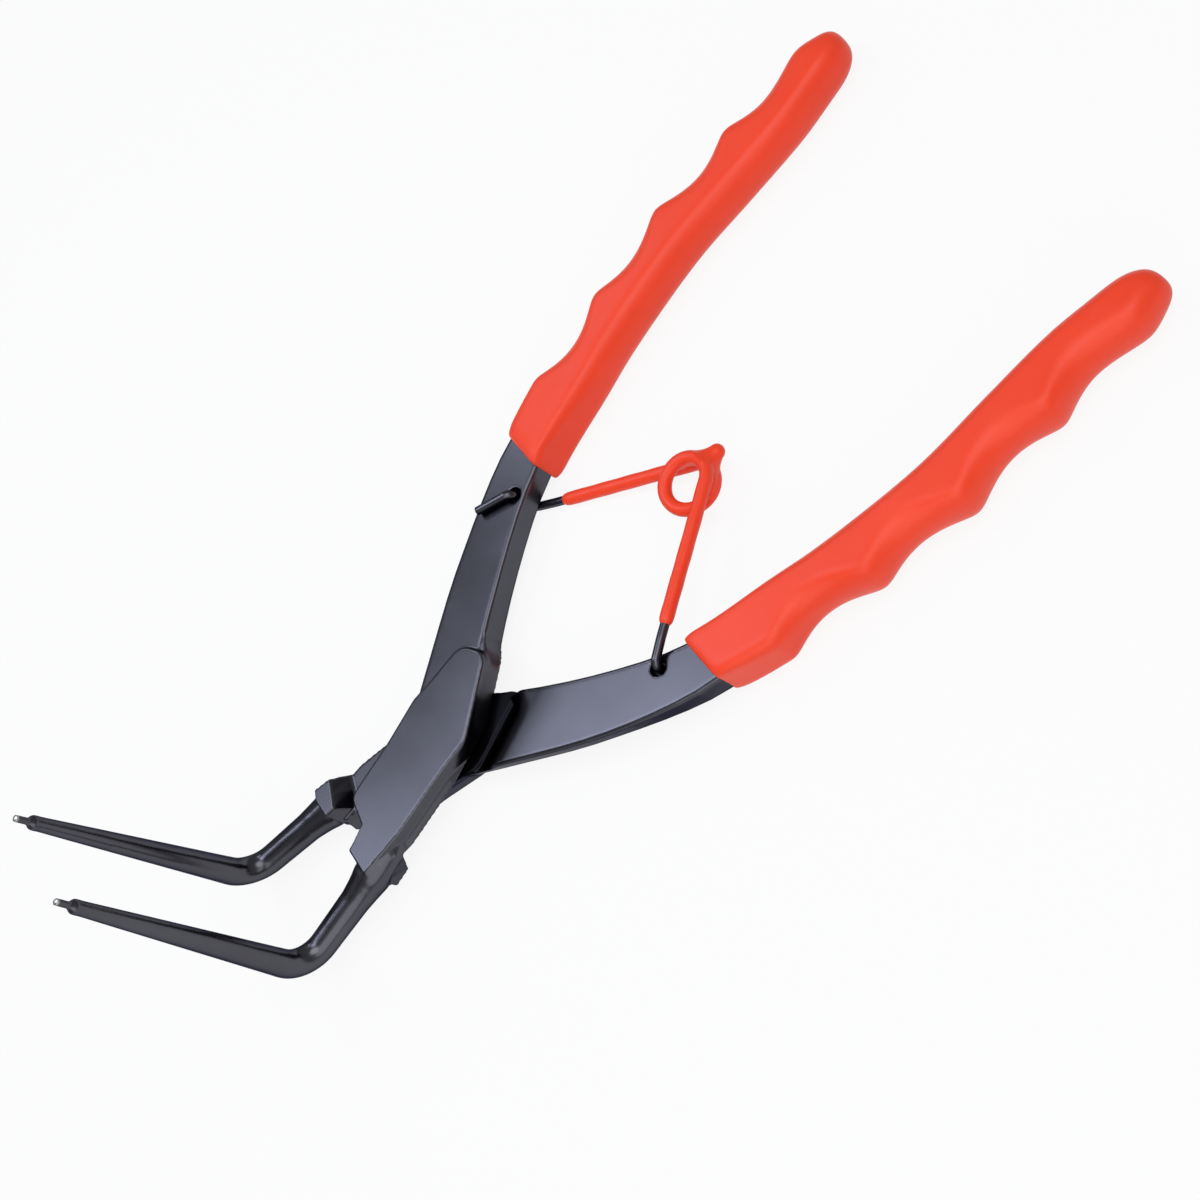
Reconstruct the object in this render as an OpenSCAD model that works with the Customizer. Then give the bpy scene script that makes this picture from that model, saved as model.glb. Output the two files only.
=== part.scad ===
/* [Handles] */
// Distance along the tool from the pivot to the end of a grip
handle_len = 169; // [140:1:190]
// Distance from the tool's centre line to the end of a grip
handle_spread = 50.6; // [44:0.2:56]
// Thickness of the steel shanks
shank_t = 6.5; // [5.5:0.1:7.5]
// Width of a shank, measured straight across the tool, beside the joint
shank_root_w = 20; // [18:0.5:22]
// Width of a shank, measured straight across the tool, where its grip starts
shank_neck_w = 11.7; // [10.5:0.1:12.5]
// Rounding of the shank's long edges
shank_edge_r = 0.9; // [0.4:0.1:1.4]
// Lean of a shank's sides: how far its edges spread towards the other lever's face
shank_lean = 0.9; // [0:0.1:1.2]

/* [Grips] */
// Distance along the tool from the pivot to the start of a grip
grip_start = 57; // [54:0.5:62]
// Thickness of a grip, front to back
grip_t = 11.6; // [10:0.1:13]
// Reach of a grip from the handle's centre line to its smooth inner edge
grip_inner_w = 6.4; // [5.6:0.1:7]
// Reach of a grip from the handle's centre line to its finger bumps
grip_outer_w = 7.7; // [7.4:0.1:8.8]
// Rounding of a grip's inner edges, beyond the sharper edges at its start
grip_edge_r = 4; // [2.5:0.1:4.4]
// Rounding of a grip's outer edges on the finger bumps
bump_edge_r = 2; // [1:0.1:2.5]
// Depth of the finger grooves
groove_depth = 2.8; // [1:0.1:3]
// Distance between two finger bumps
finger_pitch = 22.6; // [18:0.2:26]
// Width of the steel tang inside a grip
tang_w = 7.6; // [6:0.1:8.2]

/* [Joint] */
// Thickness of each lever at the joint
boss_t = 4.9; // [4.2:0.1:5.6]
// Gap between the mating faces of the levers
joint_gap = 0.1; // [0.06:0.02:0.2]
// Spread of a boss from its outer face to its mating face, on the handle's side
boss_draft = 0.8; // [0.4:0.1:1]
// Spread of a boss from its outer face to its mating face, on the nose's side
boss_flare = 1.5; // [0.8:0.1:1.8]
// Diameter of the pivot rivet
pivot_d = 7; // [5:0.1:8]
// Running clearance of the rivet in the rear lever, on the radius
pivot_clear = 0.05; // [0.02:0.01:0.1]
// Diameter of the rivet's countersunk head
rivet_head_d = 10; // [9:0.1:11]
// Radius of the hollow that lets the other lever's boss swing
recess_r = 11.8; // [11.6:0.1:12.6]
// Slope of the S-shaped ramp from that hollow up to the shank's face, at its steepest, in degrees
ramp_slope = 60; // [50:1:65]

/* [Noses] */
// Distance along the tool from the pivot to the end of the collars
collar_y = 28.6; // [27.5:0.1:31]
// Distance from the centre line to a nose's axis, at the collar
nose_root_x = 10.1; // [9.5:0.1:11]
// Distance from the centre line to a nose's axis, at its bend
nose_bend_x = 14.3; // [12:0.1:16]
// Distance along the tool from the pivot to the upright part of a nose
nose_bend_y = 54; // [46:0.2:70]
// Radius of the bend, at the nose's axis
nose_bend_r = 7; // [5:0.5:10]
// Height from the nose's flat axis to the shoulder of its tip
nose_height = 65; // [30:1:90]
// Lean of the upright part towards the other nose, in degrees
nose_lean = 2.4; // [0:0.1:4]
// Diameter of a nose at the collar
nose_root_d = 7.3; // [6.8:0.1:8.2]
// Diameter of a nose at its bend
nose_bend_d = 6.3; // [5:0.1:6.8]
// Diameter of a nose at the shoulder of its tip
nose_tip_d = 3.1; // [2.6:0.1:4]
// Diameter of the pin that enters a ring's eye
pin_d = 1.5; // [1:0.1:2.2]
// Length of that pin
pin_len = 3.3; // [2:0.1:6]

/* [Spring] */
// Distance along the tool from the pivot to the spring's holes
spring_hole_y = 49.2; // [47:0.2:51]
// Distance from a handle's centre line to its spring hole, towards the inside
spring_hole_in = 3.3; // [1:0.1:3.4]
// Diameter of the spring's holes
spring_hole_d = 3.6; // [3.4:0.1:3.8]
// Distance along the tool from the pivot to the middle of the coil
coil_y = 78.5; // [74:0.5:86]
// Distance from the centre line to the middle of the coil, towards the right handle
coil_x = 1.3; // [-2:0.1:2]
// Radius of the coil, at the middle of its wire
coil_r = 5.5; // [4.8:0.1:7]
// Diameter of the spring wire
wire_d = 2; // [1.6:0.1:2.2]
// Diameter of the wire with its coating
coated_d = 3.1; // [2.6:0.1:3.2]
// Length of a leg that is left bare, from the hole to the coating
bare_len = 7.4; // [6:0.1:14]
// Length of a wire's hook beyond its hole
hook_len = 9; // [4:0.1:12]
// Turn of a hook from the line of its leg, in degrees
hook_turn = 16; // [0:1:30]
// Length of the drip of coating on the coil
drip_len = 4.3; // [3.6:0.1:6]
// Diameter of that drip
drip_d = 3.4; // [2.6:0.1:3.6]

/* [Hidden] */
$fn = 64;

steel = [0.16, 0.17, 0.2];
plastic = [0.96, 0.29, 0.2];

// Half of the gap that each mating face stands back from the mid-plane
half_gap = joint_gap / 2;

// Centre line of a handle: shares of handle_spread and handle_len
PATH = [[0.127, 0.059], [0.397, 0.166], [0.648, 0.29], [0.744, 0.367], [0.806, 0.462],
        [0.881, 0.568], [0.933, 0.675], [0.939, 0.781], [0.949, 0.876], [0.984, 0.947], [1, 1]];
path_x = [for (p = PATH) p.x * handle_spread];
path_y = [for (p = PATH) p.y * handle_len];

// Slope of the centre line at its point k
function path_slope(k) =
    let (a = max(k - 1, 0), b = min(k + 1, len(PATH) - 1))
    (path_x[b] - path_x[a]) / (path_y[b] - path_y[a]);

// Stretch of the centre line that holds the distance y
function path_stretch(y) =
    let (n = len([for (v = path_y) if (v <= y) 1]))
    min(max(n - 1, 0), len(PATH) - 2);

// Centre line of a handle as a smooth curve
function centre_x(y) =
    let (k = path_stretch(y),
         h = path_y[k + 1] - path_y[k],
         u = (y - path_y[k]) / h,
         a = path_slope(k) * h,
         b = path_slope(k + 1) * h,
         rise = path_x[k + 1] - path_x[k])
    u < 0 ? path_x[k] + u * a
          : path_x[k] + u * a + u * u * (3 * rise - 2 * a - b) + u * u * u * (a + b - 2 * rise);

function unit(v) = v / norm(v);

// Arc that rounds the corner b between its neighbours a and c
arc_steps = 4;
function corner(a, b, c, r) =
    let (u = unit(a - b),
         v = unit(c - b),
         half = acos(u * v) / 2,
         o = b + unit(u + v) * r / sin(half),
         p = b + u * r / tan(half) - o,
         q = b + v * r / tan(half) - o,
         start = atan2(p.y, p.x),
         turn = atan2(p.x * q.y - p.y * q.x, p * q) / arc_steps)
    [for (i = [0:arc_steps]) o + r * [cos(start + turn * i), sin(start + turn * i)]];

// Outline with each vertex [x, y, radius] rounded
function rounded(vs) =
    let (n = len(vs),
         ps = [for (v = vs) [v.x, v.y]])
    [for (i = [0:n - 1]) each corner(ps[(i + n - 1) % n], ps[i], ps[(i + 1) % n], vs[i][2])];

// Outline moved out along its own normals, each point by its own distance in ds
function grown(ps, ds) =
    let (n = len(ps))
    [for (i = [0:n - 1])
        let (t = unit(ps[(i + 1) % n] - ps[(i + n - 1) % n]))
        ps[i] + ds[i] * [t.y, -t.x]];

function at_height(ps, z) = [for (p = ps) [p.x, p.y, z]];

// Cross-section of a bar at the distance y: corners with radii r_in and r_out across and rz in height,
// sides that lean apart towards +Z
function bar_ring(x0, x1, y, h, r_in, r_out, rz, steps, lean_in = 0, lean_out = 0) =
    [for (k = [0:3], i = [0:steps])
        let (a = 90 * (k + i / steps),
             outer = k == 0 || k == 3,
             z = (k < 2 ? h - rz : rz - h) + rz * sin(a),
             x = outer ? x1 - r_out + lean_out * z / h : x0 + r_in - lean_in * z / h)
        [x + (outer ? r_out : r_in) * cos(a), y, z]];

// Solid through a row of rings, closed with a flat face at each end
module loft(rings) {
    n = len(rings[0]);
    m = len(rings);
    sides = [for (j = [0:m - 2], i = [0:n - 1])
        [j * n + i, j * n + (i + 1) % n, (j + 1) * n + (i + 1) % n, (j + 1) * n + i]];
    first = [for (i = [n - 1:-1:0]) i];
    last = [for (i = [0:n - 1]) (m - 1) * n + i];
    polyhedron([for (r = rings) each r], concat(sides, [first, last]));
}

// Solid through a closed circuit of rings, as a pipe's outside and inside
module loop_loft(rings) {
    n = len(rings[0]);
    m = len(rings);
    sides = [for (j = [0:m - 1], i = [0:n - 1])
        [j * n + i, j * n + (i + 1) % n, ((j + 1) % m) * n + (i + 1) % n, ((j + 1) % m) * n + i]];
    polyhedron([for (r = rings) each r], sides);
}

function reversed(v) = [for (i = [len(v) - 1:-1:0]) v[i]];

// Shank and tang
shank_y0 = -2;
tang_y = grip_start + 9;
tang_end = handle_len - 11;
root_y = 10;
root_spread = 0.7;
// How far a shank's inner edge may cross the centre line, beside the joint
cross_max = 3.5;
function half_w(y) = lookup(y, [[shank_y0, shank_root_w / 2 + root_spread], [root_y, shank_root_w / 2],
                                [grip_start, shank_neck_w / 2], [tang_y, tang_w / 2]]);
function bar_in(y) = max(centre_x(y) - half_w(y), -cross_max);
function bar_out(y) = centre_x(y) + half_w(y);
// Lean of the inner side, which ends above the joint, and of the outer side, which ends at the grip
function lean_in(y) = lookup(y, [[boss_top, shank_lean / 2], [1.5 * boss_top, 0]]);
function lean_out(y) = lookup(y, [[grip_start - boss_top, shank_lean], [grip_start, 0]]);
function bar(y, grow, steps) =
    let (r = shank_edge_r + grow)
    bar_ring(bar_in(y) - grow, bar_out(y) + grow, y, shank_t / 2 + grow, r, r, r, steps,
             lean_in(y), lean_out(y));
shank_ys = [for (i = [0:11]) shank_y0 + (grip_start - shank_y0) * i / 12];
tang_ys = concat([for (i = [0:3]) grip_start + (tang_y - grip_start) * i / 3],
                 [for (i = [1:10]) tang_y + (tang_end - tang_y) * i / 10]);

// Boss outline on its outer face, for the lever whose handle is at +X and whose nose is at -X: each vertex
// is [x, y, radius, spread towards the mating face]
lap_y = 21.6;
boss_top = 22.4;
boss_end = 0.5 - collar_y;
boss_rim = 0.35;
notch_draft = -0.9;
BOSS = [[10.1, 3.5, 4, boss_draft], [7.3, -7, 12, boss_draft], [4.6, -lap_y + 0.6, 2.6, boss_draft],
        [-3.8, -lap_y - 1, 1.2, notch_draft], [-4.7, boss_end, 0.3, notch_draft],
        [-nose_root_x - 1.8, boss_end, 0.3, boss_rim], [-11.2, -16.5, 14, boss_flare],
        [-8.5, -2, 6, boss_flare], [-7.2, 7.6, 4, boss_rim], [4.6, boss_top, 2.4, boss_rim],
        [10.8, boss_top - 3.4, 3.6, boss_rim], [10.1, 9, 6, boss_draft]];
boss_outline = reversed(rounded(BOSS));
foot_spread = reversed([for (v = BOSS) each [for (i = [0:arc_steps]) v[3]]]);
// Crease in a boss's flank: its distance from the mid-plane and its share of the spread
crease_z = 1.9;
crease_share = 0.25;
crease_spread = [for (s = foot_spread) max(crease_share * s, min(s, boss_rim))];
rim_spread = [for (s = foot_spread) boss_rim];

module boss() {
    loft([at_height(grown(boss_outline, foot_spread), -half_gap),
          at_height(grown(boss_outline, crease_spread), -crease_z),
          at_height(grown(boss_outline, rim_spread), -boss_t + boss_rim),
          at_height(boss_outline, -boss_t)]);
}

// Full-thickness collar behind the lap: its foot on the boss and its top level with the other boss
collar_x = nose_root_x;
COLLAR_FOOT = [[-collar_x - 3, -20.4], [-collar_x - 3.9, -collar_y + 1], [-collar_x - 1.4, -collar_y],
               [-collar_x + 4.5, -collar_y], [-collar_x + 4.4, -24], [-collar_x + 0.8, -21.6]];
COLLAR_TOP = [[-collar_x - 2.6, -23.1], [-collar_x - 3.5, -collar_y + 1], [-collar_x - 1.4, -collar_y],
              [-collar_x + 3.8, -collar_y], [-collar_x + 3.9, -26.1], [-collar_x + 0.8, -24.6]];

module collar() {
    loft([at_height(COLLAR_TOP, boss_t),
          at_height(COLLAR_FOOT, 0),
          at_height(COLLAR_FOOT, -boss_t / 2)]);
}

// Nose along +X, bent up to +Z, from its root inside the collar
nose_root_y = 25;
nose_run = norm([nose_bend_x - nose_root_x, nose_bend_y - nose_root_y]);
nose_turn = atan2(nose_bend_x - nose_root_x, nose_bend_y - nose_root_y);
neck_len = 1.1;

module nose_bar() {
    rotate([0, 90, 0])
        cylinder(h = nose_run - nose_bend_r, d1 = nose_root_d, d2 = nose_bend_d);
    translate([nose_run - nose_bend_r, 0, nose_bend_r])
        rotate([90, 0, 0])
            rotate([0, 0, -90])
                rotate_extrude(angle = 90)
                    translate([nose_bend_r, 0])
                        circle(d = nose_bend_d);
    translate([nose_run, 0, nose_bend_r]) {
        cylinder(h = nose_height - nose_bend_r, d1 = nose_bend_d, d2 = nose_tip_d);
        translate([0, 0, nose_height - nose_bend_r])
            cylinder(h = neck_len, d1 = nose_tip_d, d2 = pin_d);
        translate([0, 0, nose_height - nose_bend_r])
            cylinder(h = neck_len + pin_len, d = pin_d);
    }
}

// side is 1 where the nose bends up on the mating side of its lever, and -1 on the other side
module nose(side) {
    translate([-nose_root_x, -nose_root_y, 0])
        mirror([0, 0, side < 0 ? 1 : 0])
            rotate([0, 0, -90 - nose_turn])
                rotate([-nose_lean, 0, 0])
                    nose_bar();
}

// Hollow in the shank where the other lever's boss swings, its floor a little below the mating face
recess_x = 0.4;
recess_y = 8;
floor_drop = 0.15;
floor_z = -half_gap - floor_drop;
// Slope that is left where the ramp meets the shank's face, in degrees
ramp_lip = 12;
ramp_r = (shank_t / 2 - floor_z) / (1 + cos(ramp_lip) - 2 * cos(ramp_slope));
ramp_out = shank_t / 2;
function ramp_up(t) = [recess_r + ramp_r * sin(t), floor_z + ramp_r * (1 - cos(t))];
function ramp_over(t) = 2 * ramp_up(ramp_slope) - ramp_up(t);
RAMP = concat([for (i = [0:4]) ramp_up(ramp_slope * i / 4)],
              [for (i = [1:4]) ramp_over(ramp_slope + (ramp_lip - ramp_slope) * i / 4)]);
ramp_top = ramp_over(ramp_lip);
RAMP_EXIT = [ramp_top + ramp_out * [1, tan(ramp_lip)], ramp_top + ramp_out * [1, 1], [0, shank_t]];

module recess() {
    translate([recess_x, recess_y, 0])
        rotate_extrude()
            polygon(concat([[0, floor_z]], RAMP, RAMP_EXIT));
}

function hole_x() = centre_x(spring_hole_y) - spring_hole_in;

// One lever, its handle at +X, its own half of the joint below the mid-plane
module lever_body(side) {
    union() {
        difference() {
            loft([for (y = concat(shank_ys, tang_ys)) bar(y, 0, 3)]);
            recess();
            translate([hole_x(), spring_hole_y, -shank_t])
                cylinder(h = 2 * shank_t, d = spring_hole_d);
        }
        boss();
        collar();
        nose(side);
    }
}

// Rivet: a shank set blind in the front lever, and a countersunk head flush in the rear lever's back
rivet_skin = 1.3;
head_h = (rivet_head_d - pivot_d) / 2;

module front_lever() {
    color(steel)
        translate([0, 0, boss_t])
            rotate([0, 180, 0])
                difference() {
                    lever_body(-1);
                    translate([0, 0, rivet_skin - boss_t])
                        cylinder(h = boss_t, d = pivot_d);
                }
}

module rear_lever() {
    color(steel)
        translate([0, 0, boss_t])
            difference() {
                lever_body(1);
                translate([0, 0, -2 * boss_t])
                    cylinder(h = 3 * boss_t, d = pivot_d + 2 * pivot_clear);
                translate([0, 0, -boss_t])
                    cylinder(h = head_h, r1 = rivet_head_d / 2 + pivot_clear, r2 = pivot_d / 2 + pivot_clear);
            }
}

module pivot_rivet() {
    color(steel)
        union() {
            cylinder(h = 2 * boss_t - rivet_skin, d = pivot_d);
            cylinder(h = head_h, d1 = rivet_head_d, d2 = pivot_d);
        }
}

// Grip
bump_y = grip_start + 12.8;
lip_len = 3.5;
lip_min = 0.5;
// How far the outer edge falls from the first finger bump to the grip's start
lip_drop = 1.8;
coat_gap = 0.06;
// Rounding of the far end: its length on the inner edge, on the outer edge and in thickness
end_in = 15;
end_out = 26;
end_thick = 13;
end_power = 3;
end_min = 0.00001;
function taper(y, length) =
    let (u = max(1 - (handle_len - y) / length, 0))
    pow(max(1 - pow(u, end_power), end_min), 1 / end_power);
function lip(y) =
    let (u = min((y - grip_start) / lip_len, 1))
    lip_min + (1 - lip_min) * sqrt(1 - (1 - u) * (1 - u));
// Finger grooves, with tight bumps between them
bump_soft = 0.1;
function wave(y) = sqrt(pow(sin(180 * (y - bump_y) / finger_pitch), 2) + bump_soft * bump_soft) - bump_soft;
// The last groove runs out into the rounded end, which stands lower than the bumps
last_groove = bump_y + 3.5 * finger_pitch;
end_share = 0.5;
function groove(y) =
    y < bump_y ? lip_drop * (bump_y - y) / (bump_y - grip_start)
               : groove_depth * (y < last_groove ? wave(y) : end_share * (wave(y) + wave(last_groove)));
function grip_in(y) =
    let (edge = centre_x(y) - grip_inner_w * taper(y, end_in))
    bar_in(min(y, tang_end)) * (1 - lip(y)) + edge * lip(y);
function grip_out(y) =
    let (edge = centre_x(y) + (grip_outer_w - groove(y)) * taper(y, end_out))
    bar_out(min(y, tang_end)) * (1 - lip(y)) + edge * lip(y);
function grip_h(y) =
    shank_t / 2 * (1 - lip(y)) + grip_t / 2 * taper(y, end_thick) * lip(y);
// Edges that are sharp at the grip's start and soften along it
sharp_r = 1;
soft_len = 45;
full = 0.95;
function soft(y) = min((y - grip_start) / soft_len, 1);
function grip_ring(y) =
    let (a = grip_in(y),
         b = grip_out(y),
         h = grip_h(y),
         most = (b - a) * full / 2,
         r_in = min(sharp_r + (grip_edge_r - sharp_r) * soft(y), most),
         r_out = min(bump_edge_r + full * groove(y), most),
         rz = min(sharp_r + (grip_t / 2 - sharp_r) * soft(y), full * h))
    bar_ring(a, b, y, h, r_in, r_out, rz, 5);
grip_mid = handle_len - end_thick - grip_start - lip_len;
mid_steps = 36;
grip_ys = concat([for (u = [0, 0.06, 0.2, 0.45, 0.75, 1]) grip_start + u * lip_len],
                 [for (i = [1:mid_steps]) grip_start + lip_len + grip_mid * i / mid_steps],
                 [for (a = [15, 30, 45, 58, 70, 81, 90]) handle_len - end_thick * (1 - sin(a))]);

module grip() {
    outside = [for (y = reversed(grip_ys)) grip_ring(y)];
    inside = [for (y = tang_ys) bar(y, coat_gap, 5)];
    loft(concat(outside, inside, [bar(tang_end + coat_gap, coat_gap, 5)]));
}

module right_grip() {
    color(plastic)
        translate([0, 0, boss_t])
            grip();
}

module left_grip() {
    color(plastic)
        translate([0, 0, boss_t])
            rotate([0, 180, 0])
                grip();
}

// Spring: a leg from each handle, on opposite faces, and a coil between them
wire_rest = 0.35;
wire_bend_r = 1.6;
leg_z = shank_t / 2 + wire_rest + wire_d / 2;
coil_pitch = coated_d + 0.45;

// Each leg is worked out with its own handle at +X: reach is the coil's distance from the hole in X
function hole_dist(reach) = norm([reach, spring_hole_y - coil_y]);
function leg_len(reach) = sqrt(pow(hole_dist(reach), 2) - coil_r * coil_r);
function leg_angle(reach) = atan2(spring_hole_y - coil_y, reach) + acos(coil_r / hole_dist(reach));
right_reach = hole_x() - coil_x;
left_reach = hole_x() + coil_x;
coil_start = leg_angle(right_reach);
coil_end = 540 - leg_angle(left_reach);
coil_turn = coil_end - coil_start;
coil_z = coil_pitch * coil_turn / 720;
// Angle of the cut between the coil and its free leg
split = 4;

// Leg from the coil to its hole, as [distance, height], and its hook from the hole onwards
level_len = bare_len - 1.5;
BENDS = [0:22.5:90];
mid_rise = 0.55;
level_rise = 0.97;
function leg_line(l) =
    concat([[0, coil_z], [(l - bare_len) / 2, coil_z + (leg_z - coil_z) * mid_rise],
            [l - bare_len, coil_z + (leg_z - coil_z) * level_rise], [l - level_len, leg_z]],
           [for (a = BENDS) [l - wire_bend_r * (1 - sin(a)), leg_z - wire_bend_r * (1 - cos(a))]]);
HOOK = concat([for (a = BENDS) [wire_bend_r * (1 - cos(a)), wire_bend_r * (1 - sin(a)) - leg_z]],
              [[hook_len, -leg_z]]);

// Points of a leg with its hook, for a handle at +X and a coil centred at x
function leg_points(x, reach) =
    let (a = leg_angle(reach),
         foot = [x + coil_r * cos(a), coil_y + coil_r * sin(a)],
         along = [sin(a), -cos(a)],
         hook = [sin(a - hook_turn), -cos(a - hook_turn)])
    concat([for (p = leg_line(leg_len(reach))) [foot.x + p.x * along.x, foot.y + p.x * along.y, p.y]],
           [for (p = HOOK) [foot.x + leg_len(reach) * along.x + p.x * hook.x,
                            foot.y + leg_len(reach) * along.y + p.x * hook.y, p.y]]);

// Flat normals that carry the wire's rings along a leg and round its bends
function leg_normals(reach) =
    let (a = leg_angle(reach))
    concat([for (p = leg_line(leg_len(reach))) [cos(a), sin(a), 0]],
           [for (p = HOOK) [cos(a - hook_turn), sin(a - hook_turn), 0]]);

function half_turned(ps) = [for (p = ps) [-p.x, p.y, -p.z]];
function coil_point(a) =
    [coil_x + coil_r * cos(a), coil_y + coil_r * sin(a), coil_z * (1 - 2 * (a - coil_start) / coil_turn)];
coil_steps = 34;
coil_angles = [for (i = [0:coil_steps - 1]) coil_start + split + (coil_turn - split) * i / coil_steps];

free_leg = leg_points(coil_x, right_reach);
free_normals = leg_normals(right_reach);
coil_points = concat([for (a = coil_angles) coil_point(a)], half_turned(leg_points(-coil_x, left_reach)));
coil_normals = concat([for (a = coil_angles) [cos(a), sin(a), 0]], half_turned(leg_normals(left_reach)));
coated_leg = 3;

function tube(ps, ns, r, sides = 10) =
    [for (i = [0:len(ps) - 1])
        let (t = unit(ps[min(i + 1, len(ps) - 1)] - ps[max(i - 1, 0)]),
             n = unit(ns[i] - (ns[i] * t) * t),
             b = cross(n, t))
        [for (k = [0:sides - 1]) ps[i] + r * (cos(360 * k / sides) * n + sin(360 * k / sides) * b)]];

function first_of(v, n) = [for (i = [0:n - 1]) v[i]];

module coating(ps, ns) {
    outside = tube(ps, ns, coated_d / 2);
    inside = tube(ps, ns, wire_d / 2 + coat_gap);
    loop_loft(concat(outside, reversed(inside)));
}

module spring_coil() {
    color(steel)
        translate([0, 0, boss_t])
            loft(tube(coil_points, coil_normals, wire_d / 2));
}

module spring_leg() {
    color(steel)
        translate([0, 0, boss_t])
            loft(tube(free_leg, free_normals, wire_d / 2));
}

coil_coated = coil_steps + coated_leg;
drip_shift = 0.3;
drip_foot = coil_r + wire_d / 2 + 0.1;

// Drip of coating that hardened on top of the coil
module drip() {
    translate([coil_x - drip_shift, coil_y + drip_foot, 0])
        rotate([-90, 0, 0]) {
            cylinder(h = drip_len - drip_d / 2, d = drip_d);
            translate([0, 0, drip_len - drip_d / 2])
                sphere(d = drip_d);
        }
}

module coil_coating() {
    color(plastic)
        translate([0, 0, boss_t])
            union() {
                coating(first_of(coil_points, coil_coated), first_of(coil_normals, coil_coated));
                drip();
            }
}

module leg_coating() {
    color(plastic)
        translate([0, 0, boss_t])
            coating(first_of(free_leg, coated_leg), first_of(free_normals, coated_leg));
}

front_lever();
rear_lever();
pivot_rivet();
left_grip();
right_grip();
spring_coil();
spring_leg();
coil_coating();
leg_coating();
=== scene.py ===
import bpy
import math
import numpy as np
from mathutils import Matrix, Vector


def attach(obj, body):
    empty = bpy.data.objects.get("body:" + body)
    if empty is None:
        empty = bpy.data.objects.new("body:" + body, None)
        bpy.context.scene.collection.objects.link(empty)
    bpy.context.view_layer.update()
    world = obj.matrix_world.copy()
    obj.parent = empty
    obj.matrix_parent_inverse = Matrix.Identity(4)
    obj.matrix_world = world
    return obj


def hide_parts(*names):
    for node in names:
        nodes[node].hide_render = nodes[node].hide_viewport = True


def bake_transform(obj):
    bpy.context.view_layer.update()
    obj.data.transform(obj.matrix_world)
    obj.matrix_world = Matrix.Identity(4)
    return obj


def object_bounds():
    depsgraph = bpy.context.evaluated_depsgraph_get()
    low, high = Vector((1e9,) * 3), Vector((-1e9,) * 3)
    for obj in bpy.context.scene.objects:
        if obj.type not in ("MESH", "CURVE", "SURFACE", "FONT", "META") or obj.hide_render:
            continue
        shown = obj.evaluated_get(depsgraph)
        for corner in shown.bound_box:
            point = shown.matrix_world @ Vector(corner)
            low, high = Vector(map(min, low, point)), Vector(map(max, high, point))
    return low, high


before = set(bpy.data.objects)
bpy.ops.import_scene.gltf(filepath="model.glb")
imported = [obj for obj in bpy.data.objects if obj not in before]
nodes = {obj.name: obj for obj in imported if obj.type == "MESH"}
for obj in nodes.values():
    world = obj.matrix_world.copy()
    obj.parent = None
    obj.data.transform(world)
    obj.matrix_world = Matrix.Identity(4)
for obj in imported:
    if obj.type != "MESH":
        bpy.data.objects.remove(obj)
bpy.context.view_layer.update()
scene = bpy.context.scene
MM = 0.001

# Sizes of the part, in millimetres, with the mid-plane of the handles at z = MID
MID = 4.9
HANDLE_LEN = 169.0
SPREAD = 50.6
SHANK_T = 6.5
FACE = SHANK_T / 2
GRIP_START = 57.0
TANG_END = HANDLE_LEN - 11
SHANK_INNER_X = -3.5
SHANK_EDGE_R = 0.9
# A handle's centre line, as shares of SPREAD and HANDLE_LEN
PATH = [(0.127, 0.059), (0.397, 0.166), (0.648, 0.29), (0.744, 0.367), (0.806, 0.462), (0.881, 0.568),
        (0.933, 0.675), (0.939, 0.781), (0.949, 0.876), (0.984, 0.947), (1.0, 1.0)]


def centre_x(y):
    """Centre line of a handle at +X, a smooth curve through PATH."""
    px = np.array([p[0] for p in PATH]) * SPREAD
    py = np.array([p[1] for p in PATH]) * HANDLE_LEN
    k = int(np.clip(np.searchsorted(py, y, side="right") - 1, 0, len(py) - 2))

    def slope(i):
        a, b = max(i - 1, 0), min(i + 1, len(py) - 1)
        return (px[b] - px[a]) / (py[b] - py[a])

    h = py[k + 1] - py[k]
    u = (y - py[k]) / h
    a, b, rise = slope(k) * h, slope(k + 1) * h, px[k + 1] - px[k]
    if u < 0:
        return px[k] + u * a
    return px[k] + u * a + u * u * (3 * rise - 2 * a - b) + u ** 3 * (a + b - 2 * rise)


def half_w(y):
    """Half the width of a handle's steel, which narrows to the tang inside the grip."""
    return float(np.interp(y, [-2, 10, GRIP_START, GRIP_START + 9], [10.7, 10, 5.85, 3.8]))


# Mesh helpers. A skin's voxel size in millimetres, its rounds of smoothing, and the rounds beyond those that
# show where an edge stands out
LEVER_SKIN = {"voxel": 0.28, "rounds": 4, "wide": 8}
GRIP_SKIN = {"voxel": 0.4, "rounds": 18, "wide": 4}
COAT_SKIN = {"voxel": 0.2, "rounds": 4, "wide": 8}
CALM_ROUNDS = 30


def new_object(name, data):
    o = bpy.data.objects.new(name, data)
    scene.collection.objects.link(o)
    return o


def mesh_from(name, verts, faces):
    me = bpy.data.meshes.new(name)
    me.from_pydata([tuple(v) for v in verts], [], faces)
    me.update()
    return me


def smooth_shade(me):
    me.polygons.foreach_set("use_smooth", [True] * len(me.polygons))
    me.update()


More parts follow.
